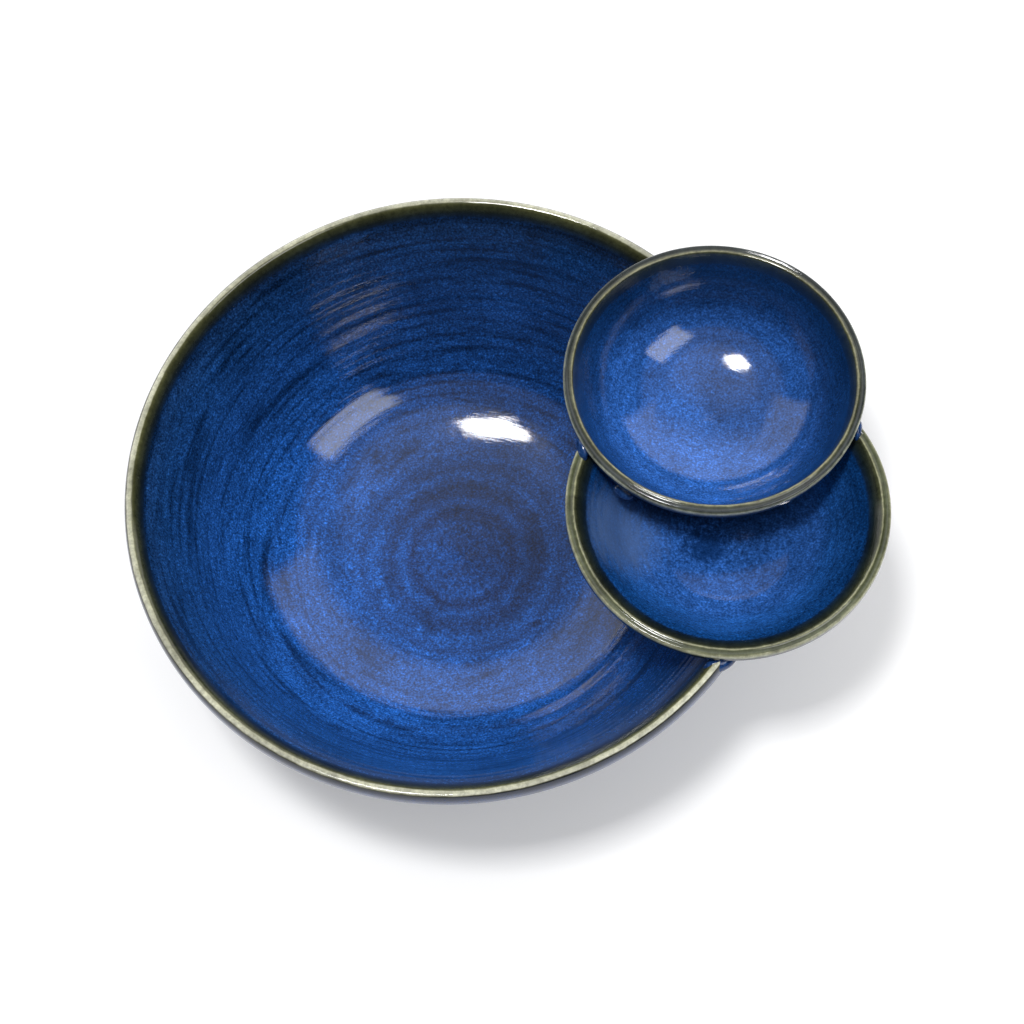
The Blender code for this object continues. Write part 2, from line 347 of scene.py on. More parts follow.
def profile(bowl):
    """The clean closed outline at the stations used for the mesh, and those stations."""
    outline = np.concatenate([inner_outline(bowl), lip_top(bowl), outer_outline(bowl)])
    lengths = lengths_of(outline)
    keep = np.concatenate([[True], np.diff(lengths) > 1e-7])
    outline, lengths = outline[keep], lengths[keep]
    crest = inside_length(bowl)
    lip_start = crest - LIP_SURROUND[0]
    lip_end = crest + bowl.lip_width + LIP_SURROUND[1]
    inside = np.arange(0, lip_start, bowl.inside_step)
    lip = np.arange(lip_start, lip_end, LIP_STEP)
    outside = np.arange(lip_end, lengths[-1], OUTSIDE_STEP)
    corners = lengths[-FOOT_POINTS:] if bowl.foot_radius else lengths[-1:]
    stations = np.unique(np.concatenate([inside, lip, outside, corners]).round(7))
    spaced = np.concatenate([[True], np.diff(stations) > LEAST_STEP])
    spaced[-1] = True
    stations = stations[spaced]
    stations[-1] = lengths[-1]
    return resampled(outline, stations), stations


def wobble(bowl, azimuth):
    """Small unevenness of the rim, which only ever takes away from its size."""
    random = np.random.default_rng(bowl.seed + 7)
    total = np.zeros_like(azimuth)
    for k in (2, 3, 4, 5, 7):
        total += np.cos(k * azimuth + random.uniform(0, 2 * math.pi)) / k
    return total


def turned_faces(rows, count):
    """Faces of a closed turned shape: rows of count points, then its two end points."""
    faces = []
    for i in range(rows - 1):
        for j in range(count):
            k = (j + 1) % count
            faces.append(((i + 1) * count + j, (i + 1) * count + k, i * count + k, i * count + j))
    first, last = rows * count, rows * count + 1
    end = (rows - 1) * count
    faces += [(first, j, (j + 1) % count) for j in range(count)]
    faces += [(last, end + (j + 1) % count, end + j) for j in range(count)]
    return faces


def placed_points(bowl, radius, height, azimuth, ends):
    """Points around the bowl's axis, row by row, then its two end points on the axis."""
    centre = (bowl.axis[0] + SHIFT, bowl.axis[1])
    x, y = centre[0] + radius * np.cos(azimuth), centre[1] + radius * np.sin(azimuth)
    points = np.stack([x, y, height], axis=-1).reshape(-1, 3)
    return np.concatenate([points, [(*centre, ends[0]), (*centre, ends[1])]])


def thrown_mesh(bowl):
    """The whole bowl as a closed mesh, with its finger rings."""
    outline, stations = profile(bowl)
    azimuth = np.linspace(0, 2 * math.pi, bowl.steps, endpoint=False)
    tangent = np.gradient(outline, axis=0)
    tangent /= np.linalg.norm(tangent, axis=1)[:, None]
    normal = np.stack([-tangent[:, 1], tangent[:, 0]], axis=1)
    a, s = np.meshgrid(azimuth, stations[1:-1])
    push = displacement(bowl, a, s)
    r = outline[1:-1, 0][:, None] + normal[1:-1, 0][:, None] * push
    z = outline[1:-1, 1][:, None] + normal[1:-1, 1][:, None] * push
    lift = np.clip((z - bowl.rim_height + 0.5 * bowl.depth) / (0.5 * bowl.depth), 0, 1)
    r = r * (1 - RIM_WAVER * lift * (wobble(bowl, a) + WAVER_LIFT).clip(0, 3))
    z = z - LIP_WAVER * lift * (wobble(bowl, a + 1.0) + WAVER_LIFT).clip(0, 3)
    verts = placed_points(bowl, r, z, a, (outline[0, 1], outline[-1, 1]))
    return verts, turned_faces(len(outline) - 2, bowl.steps)


def mesh_object(name, verts, faces):
    mesh = bpy.data.meshes.new(name)
    mesh.from_pydata([tuple(v) for v in verts], [], faces)
    mesh.update()
    item = bpy.data.objects.new(name, mesh)
    bpy.context.scene.collection.objects.link(item)
    return item


def cutter_object(bowl):
    """The bowl filled to above its rim and taken in a little, to cut its neighbours with."""
    outer = offset(outer_outline(bowl), -SINK)
    outer = outer[np.concatenate([[True], np.diff(lengths_of(outer)) > 1e-6])]
    outer = resampled(outer, np.linspace(0, lengths_of(outer)[-1], CUTTER_POINTS))
    top = bowl.rim_height + CUTTER_MARGIN
    side = np.concatenate([[(outer[0, 0], top)], outer[:-1]])
    azimuth = np.linspace(0, 2 * math.pi, bowl.steps, endpoint=False) + 0.003
    height = np.repeat(side[:, 1][:, None], bowl.steps, axis=1)
    verts = placed_points(bowl, side[:, 0][:, None], height, azimuth, (top, outer[-1, 1]))
    return mesh_object(f"{bowl.name}_cutter", verts, turned_faces(len(side), bowl.steps))


def cut(item, cutters):
    for cutter in cutters:
        boolean = item.modifiers.new("cut", "BOOLEAN")
        boolean.operation = "DIFFERENCE"
        boolean.solver = "MANIFOLD"
        boolean.object = cutter
    evaluated = item.evaluated_get(bpy.context.evaluated_depsgraph_get())
    mesh = bpy.data.meshes.new_from_object(evaluated)
    item.modifiers.clear()
    item.data = mesh


def coordinates(mesh):
    flat = np.zeros(len(mesh.vertices) * 3, np.float32)
    mesh.vertices.foreach_get("co", flat)
    return flat.reshape(-1, 3).astype(float)


def store(mesh, name, kind, values):
    attribute = mesh.attributes.new(name, kind, "POINT")
    field = "vector" if kind == "FLOAT_VECTOR" else "value"
    attribute.data.foreach_set(field, np.ascontiguousarray(values, np.float32).ravel())


def paint_coordinates(item, bowl):
    """Stores where each vertex lies along the outline and around the axis."""
    co = coordinates(item.data)
    x, y = co[:, 0] - bowl.axis[0] - SHIFT, co[:, 1] - bowl.axis[1]
    r, azimuth = np.hypot(x, y), np.arctan2(y, x)
    outline, stations = profile(bowl)
    along = np.zeros(len(co))
    for start in range(0, len(co), 4000):
        part = slice(start, start + 4000)
        d = (r[part, None] - outline[None, :, 0]) ** 2 + (co[part, 2, None] - outline[None, :, 1]) ** 2
        along[part] = stations[np.argmin(d, axis=1)]
    crest = inside_length(bowl)
    store(item.data, "along", "FLOAT", along - crest)
    flow = np.stack([np.cos(azimuth), np.sin(azimuth), along / 0.01], axis=1)
    store(item.data, "flow", "FLOAT_VECTOR", flow)
    ring = rings(bowl, azimuth, along) * ring_strength(bowl, azimuth, along)
    store(item.data, "ring", "FLOAT", np.where(along < crest, ring, 0.5))


def make_bowl(bowl, cutters):
    verts, faces = thrown_mesh(bowl)
    item = mesh_object(f"{bowl.name}_thrown", verts, faces)
    if cutters:
        cut(item, cutters)
    paint_coordinates(item, bowl)
    item.data.shade_smooth()
    item.data.set_sharp_from_angle(angle=math.radians(50))
    return item


# ---------------------------------------------------------------- seams


def is_within(bowl, points):
    """Which points lie in the bowl or in the space that it holds."""
    radius = np.hypot(points[:, 0] - bowl.axis[0], points[:, 1] - bowl.axis[1])
    rising = underside_outline(bowl)[::-1]
    bottom = np.interp(radius, rising[:, 0], rising[:, 1])
    return (radius <= bowl.rim_radius) & (points[:, 2] <= bowl.rim_height) & (points[:, 2] > bottom)


def seam_route(bowl, outline, others, middle, start):
    """Where a bowl's surface leaves the others, going round; outline runs down from the lip."""
    lengths = lengths_of(outline)
    stations = np.arange(start, lengths[-1], 0.0003)
    line = resampled(outline, stations)
    route = []
    for azimuth in np.radians(np.arange(-100, 100, 0.2)) + middle:
        points = np.stack(
            [
                bowl.axis[0] + line[:, 0] * math.cos(azimuth),
                bowl.axis[1] + line[:, 0] * math.sin(azimuth),
                line[:, 1],
            ],
            axis=1,
        )
        within = np.any([is_within(other, points) for other in others], axis=0)
        if within[0] and not within.all():
            route.append(points[np.argmin(within)])
    return evenly_spaced(np.array(route))


def evenly_spaced(points):
    lengths = lengths_of(points)
    stations = np.linspace(0, lengths[-1], max(4, round(lengths[-1] / ROUTE_STEP)))
    even = np.stack([np.interp(stations, lengths, points[:, k]) for k in range(3)], axis=1)
    smooth = even.copy()
    for _ in range(4):
        smooth[1:-1] = (smooth[:-2] + 2 * smooth[1:-1] + smooth[2:]) / 4
    return smooth


def nearest_on(bowl, outline, point):
    """The nearest point on a bowl's surface, and the direction out of the clay there."""
    x, y = point[0] - bowl.axis[0], point[1] - bowl.axis[1]
    radius, azimuth = math.hypot(x, y), math.atan2(y, x)
    index = int(np.argmin((outline[:, 0] - radius) ** 2 + (outline[:, 1] - point[2]) ** 2))
    low, high = max(index - 2, 0), min(index + 2, len(outline) - 1)
    tangent = outline[high] - outline[low]
    tangent /= np.linalg.norm(tangent)
    normal = np.array([-tangent[1], tangent[0]])
    c, s = math.cos(azimuth), math.sin(azimuth)
    place = np.array([bowl.axis[0] + outline[index, 0] * c, bowl.axis[1] + outline[index, 0] * s, 0.0])
    place[2] = outline[index, 1]
    return place, np.array([normal[0] * c, normal[0] * s, normal[1]])


def fillet(route, first, second_of, reach, seed):
    """Clay smeared into a corner: a strip with a hollow face between two surfaces.

    first and second_of(point) are a bowl with its outline; reach(length, total) is how far the
    clay spreads on both.
    """
    tangent = np.gradient(route, axis=0)
    tangent /= np.linalg.norm(tangent, axis=1)[:, None]
    lengths = lengths_of(route)
    random = np.random.default_rng(seed)
    phases = random.uniform(0, 2 * math.pi, 6)
    sections = []
    for i, point in enumerate(route):
        second = second_of(point)
        _, n1 = nearest_on(*first, point)
        _, n2 = nearest_on(*second, point)
        d1 = np.cross(tangent[i], n1)
        d1 *= math.copysign(1, d1 @ n2) / np.linalg.norm(d1)
        d2 = np.cross(tangent[i], n2)
        d2 *= math.copysign(1, d2 @ n1) / np.linalg.norm(d2)
        uneven = 1.0
        for wave, phase in zip(COIL_WAVES, phases):
            uneven += 0.05 * math.sin(2 * math.pi * lengths[i] / wave + phase)
        a = reach(lengths[i], lengths[-1]) * uneven
        edge1, m1 = nearest_on(*first, point + a * d1)
        edge2, m2 = nearest_on(*second, point + a * d2)
        edge1 = edge1 - COIL_EDGE_SINK * m1
        edge2 = edge2 - COIL_EDGE_SINK * m2
        belly = point + COIL_BELLY * a * (d1 + d2)
        curve = bezier(edge1, belly, edge2, 8)
        back = point - COIL_BACK_SINK * (n1 + n2) / np.linalg.norm(n1 + n2)
        sink1, sink2 = edge1 - COIL_SIDE_SINK * m1, edge2 - COIL_SIDE_SINK * m2
        sections.append(np.concatenate([[sink1], curve, [sink2], [back]]))
    count, size = len(sections), len(sections[0])
    verts = np.concatenate(sections) + np.array([SHIFT, 0, 0])
    faces = []
    for i in range(count - 1):
        for j in range(size):
            k = (j + 1) % size
            faces.append((i * size + j, i * size + k, (i + 1) * size + k, (i + 1) * size + j))
    faces.append(tuple(range(size))[::-1])
    faces.append(tuple((count - 1) * size + j for j in range(size)))
    return verts, faces


def lump(centre, radii, turn, seed, count=28):
    """A pressed knob of clay, as the points and faces of an uneven ellipsoid, in the row frame."""
    random = np.random.default_rng(seed)
    directions = random.normal(size=(10, 3))
    directions /= np.linalg.norm(directions, axis=1)[:, None]
    depths = random.uniform(-0.10, 0.12, 10)
    rows = count // 2
    polar = np.linspace(0, math.pi, rows + 1)[1:-1]
    azimuth = np.linspace(0, 2 * math.pi, count, endpoint=False)
    p, a = np.meshgrid(polar, azimuth, indexing="ij")
    unit = np.stack([np.sin(p) * np.cos(a), np.sin(p) * np.sin(a), np.cos(p)], axis=-1).reshape(-1, 3)
    unit = np.concatenate([unit, [(0, 0, 1), (0, 0, -1)]])
    size = 1 + sum(d * np.exp(6 * (unit @ v - 1)) for v, d in zip(directions, depths))
    local = unit * size[:, None] * np.array(radii)
    c, s = math.cos(turn), math.sin(turn)
    x = local[:, 0] * c - local[:, 1] * s
    y = local[:, 0] * s + local[:, 1] * c
    verts = np.stack([x, y, local[:, 2]], axis=1) + np.array(centre)
    return verts, turned_faces(rows - 1, count)


def seam_object(name, parts):
    verts, faces = [], []
    for v, f in parts:
        base = sum(len(x) for x in verts)
        faces += [tuple(base + i for i in face) for face in f]
        verts.append(v)
    item = mesh_object(name, np.concatenate(verts), faces)
    item.data.shade_smooth()
    item.data.set_sharp_from_angle(angle=math.radians(55))
    return item


# ---------------------------------------------------------------- materials


class Graph:
    """Short ways to add nodes to a material."""

    def __init__(self, name):
        self.material = bpy.data.materials.new(name)
        self.material.use_nodes = True
        self.tree = self.material.node_tree
        self.shader = self.tree.nodes["Principled BSDF"]

    def node(self, kind, **settings):
        made = self.tree.nodes.new(kind)
        for key, value in settings.items():
            setattr(made, key, value)
        return made

    def link(self, source, target):
        self.tree.links.new(source, target)

    def feed(self, socket, value):
        if isinstance(value, bpy.types.NodeSocket):
            self.link(value, socket)
        elif isinstance(value, (tuple, list)) and socket.type == "RGBA" and len(value) == 3:
            socket.default_value = (*value, 1.0)
        else:
            socket.default_value = value

    def math(self, operation, a, b=0.0, clamp=False):
        made = self.node("ShaderNodeMath", operation=operation, use_clamp=clamp)
        self.feed(made.inputs[0], a)
        self.feed(made.inputs[1], b)
        return made.outputs[0]

    def spread(self, value, low, high, to_low=0.0, to_high=1.0, smooth=True):
        made = self.node("ShaderNodeMapRange")
        if smooth:
            made.interpolation_type = "SMOOTHSTEP"
        for socket, x in zip(made.inputs, (value, low, high, to_low, to_high)):
            self.feed(socket, x)
        return made.outputs[0]

    def noise(self, vector, scale, detail=2.0, roughness=0.5, distortion=0.0):
        made = self.node("ShaderNodeTexNoise")
        self.feed(made.inputs["Vector"], vector)
        made.inputs["Scale"].default_value = scale
        made.inputs["Detail"].default_value = detail
        made.inputs["Roughness"].default_value = roughness
        made.inputs["Distortion"].default_value = distortion
        return made.outputs["Fac"]

    def scaled(self, vector, scale):
        made = self.node("ShaderNodeMapping")
        self.feed(made.inputs["Vector"], vector)
        made.inputs["Scale"].default_value = scale
        return made.outputs[0]

    def mix(self, factor, a, b, blend="MIX"):
        made = self.node("ShaderNodeMix", data_type="RGBA", blend_type=blend)
        self.feed(made.inputs["Factor"], factor)
        self.feed(made.inputs[6], a)
        self.feed(made.inputs[7], b)
        return made.outputs[2]

    def ramp(self, value, low, high, stops):
        """A colour by value, with stops as (value, colour), between low and high."""
        made = self.node("ShaderNodeValToRGB")
        place = self.spread(value, low, high, smooth=False)
        self.link(place, made.inputs[0])
        elements = made.color_ramp.elements
        while len(elements) > 1:
            elements.remove(elements[-1])
        for i, (at, colour) in enumerate(stops):
            position = (at - low) / (high - low)
            element = elements[0] if i == 0 else elements.new(position)
            element.position = position
            element.color = (*colour, 1.0)
        return made.outputs[0]

    def attribute(self, name, output):
        return self.node("ShaderNodeAttribute", attribute_name=name).outputs[output]

    def grey(self, value):
        made = self.node("ShaderNodeCombineColor")
        for socket in made.inputs[:3]:
            self.link(value, socket)
        return made.outputs[0]

    def split(self, vector):
        made = self.node("ShaderNodeSeparateXYZ")
        self.link(vector, made.inputs[0])
        return made.outputs

    def times(self, a, b):
        return self.math("MULTIPLY", a, b)

    def plus(self, a, b):
        return self.math("ADD", a, b)

    def bump(self, height, strength, distance):
        made = self.node("ShaderNodeBump")
        made.inputs["Strength"].default_value = strength
        made.inputs["Distance"].default_value = distance
        self.link(height, made.inputs["Height"])
        self.link(made.outputs[0], self.shader.inputs["Normal"])


def mottling(g, place, flow, settings):
    """Brightness of the glaze: clouds, drawn-out streaks and fine speckle, about 1 on average."""
    clouds = g.noise(place, 38.0, 3.0, 0.55)
    streaks = g.noise(g.scaled(flow, (2.8, 2.8, 2.8)), 1.6, 4.0, 0.62)
    speckle = g.noise(place, 1050.0, 1.0, 0.5)
    grain = g.noise(place, 420.0, 4.0, 0.75)
    weights = (1.5, 1.2, settings["speckle"], settings["grain"])
    light = g.times(clouds, weights[0])
    for layer, weight in zip((streaks, speckle, grain), weights[1:]):
        light = g.plus(light, g.times(layer, weight))
    light = g.math("SUBTRACT", light, 0.5 * sum(weights))
    gain = g.math("POWER", 2.0, g.times(light, settings["contrast"]))
    return gain, streaks, speckle, grain


def pools_and_painted_side_light(g, along, flow, ring, settings):
    """Darkening where the glaze lies thicker, in pools and in broken lines in the grooves, and painted
    light and shade that make the bowl's left and front lighter and its right and back darker.
    """
    pools = g.noise(g.scaled(flow, (2.6, 2.6, 1.0)), 1.7, 4.0, 0.6, 0.6)
    gain = g.spread(pools, 0.52, 0.72, 1.0, settings["pooled"])
    groove = g.math("SUBTRACT", 1.0, ring, clamp=True)
    line = g.spread(groove, 0.70, 1.0, 1.0, settings["groove"])
    gate = g.spread(g.noise(g.scaled(flow, (1.8, 1.8, 1.0)), 1.3, 3.0), 0.44, 0.62)
    on_wall = g.spread(along, settings["lines_from"], settings["lines_from"] + 0.06, 0.45, 1.0)
    share = g.times(gate, on_wall)
    line = g.plus(g.times(g.math("SUBTRACT", line, 1.0), share), 1.0)
    gain = g.times(gain, line)
    # Painted light and shade: a gain that lightens the bowl's left and front and darkens its right and
    # back.
    x, y, _ = g.split(flow)
    leaning = g.plus(g.times(x, 1.3), g.times(y, 0.9))
    painted_shade_gain, painted_light_gain = settings["painted_side_light"]
    return g.times(gain, g.spread(leaning, -1.3, 1.3, painted_light_gain, painted_shade_gain))


def patch(g, base, place, ragged, centre, near, far, colour, share):
    """A round patch of another colour, fading from the near to the far distance."""
    away = g.node("ShaderNodeVectorMath", operation="DISTANCE")
    g.link(place, away.inputs[0])
    away.inputs[1].default_value = centre
    reach = g.plus(away.outputs["Value"], g.times(ragged, 0.02))
    inside = g.spread(reach, near + 0.01, far + 0.01, share, 0.0)
    return g.mix(inside, base, colour)


def wiped_foot(g, place, speckle, grain, glaze_line):
    """Bare speckled clay below a wavering line: how bare it is, and its colour."""
    line = g.plus(g.split(place)[2], g.times(g.noise(place, 45.0, 3.0), 0.004))
    bare = g.spread(line, glaze_line, glaze_line + 0.0006, 1.0, 0.0)
    clay = g.mix(grain, (0.30, 0.21, 0.145), (0.46, 0.35, 0.25))
    return bare, g.mix(g.spread(speckle, 0.62, 0.72, 0.0, 0.7), clay, (0.10, 0.065, 0.045))


def glaze(name, inside_stops, rim_stops, settings):
    """Cobalt glaze over a thrown bowl. Stops are (metres from the lip's inner edge, colour)."""
    g = Graph(name)
    along = g.attribute("along", "Fac")
    flow = g.attribute("flow", "Vector")
    ring = g.attribute("ring", "Fac")
    place = g.node("ShaderNodeTexCoord").outputs["Object"]

    # Bands that wander a little round the bowl.
    sway = g.noise(g.scaled(flow, (2.2, 2.2, 0.25)), 1.0, 3.0)
    jitter = g.noise(g.scaled(flow, (14, 14, 1.4)), 1.0, 3.0)
    wander = g.plus(g.times(sway, 0.006), g.times(jitter, 0.003))
    moved = g.plus(along, g.math("SUBTRACT", wander, 0.0045))
    inside = g.ramp(moved, inside_stops[0][0], inside_stops[-1][0], inside_stops)
    small = g.plus(along, g.times(g.math("SUBTRACT", jitter, 0.5), 0.0012))
    rim = g.ramp(small, rim_stops[0][0], rim_stops[-1][0], rim_stops)
    in_rim = g.spread(small, rim_stops[0][0], rim_stops[0][0] + 0.002)

    # The blue inside, with painted light and shade on its sides, and its patches.
    gain, streaks, speckle, grain = mottling(g, place, flow, settings)
    gain = g.times(gain, pools_and_painted_side_light(g, along, flow, ring, settings))
    blue = g.mix(1.0, inside, g.grey(gain), "MULTIPLY")
    for centre, near, far, colour, share in settings["patches"]:
        blue = patch(g, blue, place, streaks, centre, near, far, colour, share)

    # The lip, where the glaze breaks to cream and olive.
    patchy = g.noise(g.scaled(flow, (3.5, 3.5, 0.0)), 1.0, 4.0, 0.6)
    rim_gain = g.times(g.spread(grain, 0.25, 0.75, 0.65, 1.30), g.spread(patchy, 0.35, 0.65, 0.70, 1.20))
    rim = g.mix(1.0, rim, g.grey(rim_gain), "MULTIPLY")
    colour = g.mix(in_rim, blue, rim)

    bare, clay = wiped_foot(g, place, speckle, grain, settings["glaze_line"])
    g.link(g.mix(bare, colour, clay), g.shader.inputs["Base Color"])
    dull = g.spread(g.noise(place, 60.0, 3.0), 0.3, 0.7, *settings["gloss"])
    g.link(g.plus(dull, g.times(bare, 0.75)), g.shader.inputs["Roughness"])
    g.shader.inputs["IOR"].default_value = 1.6

    # Fine relief of the glaze.
    peel = g.noise(place, 240.0, 2.0, 0.5)
    fine = g.noise(g.scaled(flow, (3.0, 3.0, 14.0)), 1.0, 3.0, 0.6)
    g.bump(g.plus(g.times(peel, 0.35), g.times(fine, 0.5)), settings["bump"], 0.0002)
    return g.material


def seam_material():
    """Glaze over rough clay: dark in the hollows, pale blue on the grains."""
    g = Graph("seam_glaze")
    place = g.node("ShaderNodeTexCoord").outputs["Object"]
    grain = g.noise(place, 260.0, 3.0, 0.6)
    speckle = g.noise(place, 900.0, 2.0, 0.6)
    mixed = g.plus(g.times(grain, 0.6), g.times(speckle, 0.4))
    stops = [
        (0.30, (0.002, 0.008, 0.030)),
        (0.48, (0.008, 0.035, 0.13)),
        (0.62, (0.020, 0.070, 0.22)),
        (0.78, (0.16, 0.22, 0.36)),
    ]
    g.link(g.ramp(mixed, 0.30, 0.78, stops), g.shader.inputs["Base Color"])
    g.link(g.spread(grain, 0.3, 0.7, 0.06, 0.16), g.shader.inputs["Roughness"])
    g.bump(grain, 0.5, 0.0005)
    return g.material


def floor_material():
    """A pale matt table that glows faintly, so that it stays white around the shadow."""
    g = Graph("pale_floor")
    place = g.node("ShaderNodeTexCoord").outputs["Object"]
    shade = g.spread(g.noise(place, 3.0, 3.0), 0.3, 0.7, 0.0, 1.0)
    g.link(g.mix(shade, (0.78, 0.78, 0.78), (0.80, 0.80, 0.80)), g.shader.inputs["Base Color"])
    g.shader.inputs["Emission Color"].default_value = (1.0, 1.0, 1.0, 1.0)
    g.shader.inputs["Emission Strength"].default_value = 0.25
    g.shader.inputs["Roughness"].default_value = 0.9
    g.shader.inputs["Specular IOR Level"].default_value = 0.1
    return g.material


# ---------------------------------------------------------------- build

cutters = {b.name: cutter_object(b) for b in (LOWER_DIP, UPPER_DIP)}
lower_cutter, upper_cutter = cutters.values()
chip = make_bowl(CHIP, [lower_cutter, upper_cutter])
lower = make_bowl(LOWER_DIP, [upper_cutter])
upper = make_bowl(UPPER_DIP, [])
for cutter in cutters.values():
    bpy.data.objects.remove(cutter)

CHIP_OUT, CHIP_IN = outer_outline(CHIP), inner_outline(CHIP)
LOWER_OUT, LOWER_IN = outer_outline(LOWER_DIP), inner_outline(LOWER_DIP)
UPPER_OUT = outer_outline(UPPER_DIP)


def direction(bowl, other):
    return math.atan2(other.axis[1] - bowl.axis[1], other.axis[0] - bowl.axis[0])


def nearer_dip(point):
    """The dip bowl whose outside passes through a point on the chip bowl's seam."""
    found = []
    for bowl, outline in ((LOWER_DIP, LOWER_OUT), (UPPER_DIP, UPPER_OUT)):
        place, _ = nearest_on(bowl, outline, point)
        found.append((np.linalg.norm(place - point), bowl.name, (bowl, outline)))
    return min(found, key=lambda f: f[0])[2]


def reach_outer(length, _):
    """The outer coil swells at its front end, where it is seen."""
    return 0.0042 + 0.0040 * math.exp(-length / 0.012)


def steady(reach):
    return lambda length, total: reach


def upper_of(_):
    return UPPER_DIP, UPPER_OUT


def distance_from_wall(point, outline):
    """How far a point lies outside one of the chip bowl's surfaces, level with it."""
    rising = outline[np.argsort(outline[:, 1])]
    radius = math.hypot(point[0] - CHIP.axis[0], point[1] - CHIP.axis[1])
    return radius - np.interp(point[2], rising[:, 1], rising[:, 0])


middle = (direction(CHIP, LOWER_DIP) + direction(CHIP, UPPER_DIP)) / 2
dips = [LOWER_DIP, UPPER_DIP]
outer_route = seam_route(CHIP, underside_outline(CHIP), dips, middle, 0.0)
inner_route = seam_route(CHIP, CHIP_IN[::-1], dips, middle, 0.003)
towards_upper = direction(LOWER_DIP, UPPER_DIP)
dip_route = seam_route(LOWER_DIP, LOWER_IN[::-1], [UPPER_DIP], towards_upper, 0.001)
valley_route = seam_route(
    LOWER_DIP, underside_outline(LOWER_DIP), [UPPER_DIP], towards_upper, 0.0
)
beyond = np.array([p for p in valley_route if distance_from_wall(p, CHIP_OUT) > -WALL_OVERLAP])
within = np.array([p for p in valley_route if distance_from_wall(p, CHIP_IN) < WALL_OVERLAP])

outer_seam = seam_object(
    "outer_seam_clay",
    [
        fillet(outer_route, (CHIP, CHIP_OUT), nearer_dip, reach_outer, 11),
        lump((0.0905, -0.0996, 0.1020), (0.0080, 0.0036, 0.0036), 0.35, 31),
    ],
)
inner_seam = seam_object(
    "inner_seam_clay",
    [fillet(inner_route, (CHIP, CHIP_IN), nearer_dip, steady(INNER_COIL_REACH), 12)],
)
dip_seam = seam_object(
    "dip_seam_clay",
    [
        fillet(dip_route, (LOWER_DIP, LOWER_IN), upper_of, steady(COIL_REACH), 13),
        lump((0.0384, 0.0072, 0.1108), (0.0062, 0.0026, 0.0046), 1.66, 32),
        lump((0.1652, 0.0052, 0.1103), (0.0056, 0.0024, 0.0044), 1.45, 33),
        lump((0.0558, -0.0130, 0.1030), (0.0056, 0.0032, 0.0032), 2.45, 34),
    ],
)
outer_valley = seam_object(
    "outer_valley_clay",
    [fillet(beyond, (LOWER_DIP, LOWER_OUT), upper_of, steady(COIL_REACH), 14)],
)
inner_valley = seam_object(
    "inner_valley_clay",
    [fillet(within, (LOWER_DIP, LOWER_OUT), upper_of, steady(COIL_REACH), 15)],
)

# Cobalt glaze, by distance along the outline from the inner edge of the lip, outwards.
CHIP_LENGTH = inside_length(CHIP)
chip_inside = [
    (-CHIP_LENGTH, (0.006, 0.046, 0.200)),
    (-CHIP_LENGTH + 0.021, (0.007, 0.050, 0.210)),
    (-CHIP_LENGTH + 0.026, (0.005, 0.026, 0.110)),
    (-CHIP_LENGTH + 0.031, (0.008, 0.060, 0.250)),
    (-CHIP_LENGTH + 0.036, (0.006, 0.032, 0.130)),
    (-CHIP_LENGTH + 0.041, (0.006, 0.040, 0.165)),
    (-CHIP_LENGTH + 0.045, (0.009, 0.065, 0.265)),
    (-CHIP_LENGTH + 0.052, (0.008, 0.046, 0.185)),
    (-CHIP_LENGTH + 0.055, (0.010, 0.067, 0.270)),
    (-CHIP_LENGTH + 0.075, (0.011, 0.067, 0.265)),
    (-0.095, (0.010, 0.067, 0.270)),
    (-0.060, (0.010, 0.058, 0.220)),
    (-0.025, (0.008, 0.046, 0.165)),
    (-0.012, (0.008, 0.036, 0.120)),
    (0.004, (0.005, 0.022, 0.072)),
]
chip_rim = [
    (-0.0095, (0.0035, 0.017, 0.055)),
    (-0.0060, (0.010, 0.016, 0.018)),
    (-0.0032, (0.040, 0.044, 0.019)),
    (-0.0014, (0.090, 0.092, 0.038)),
    (-0.0009, (0.40, 0.40, 0.28)),
    (0.0013, (0.50, 0.50, 0.40)),
    (0.0019, (0.10, 0.10, 0.06)),
    (0.0025, (0.004, 0.008, 0.020)),
    (0.0040, (0.003, 0.014, 0.050)),
    (0.0065, (0.004, 0.032, 0.130)),
    (0.0110, (0.008, 0.048, 0.180)),
    (0.0400, (0.010, 0.038, 0.130)),
]


def dip_stops(bowl, floor, wall, band):
    length = inside_length(bowl)
    return [
        (-length, floor),
        (-length + bowl.floor_radius, floor),
        (-0.030, wall),
        (-0.012, band),
        (0.004, band),
    ]


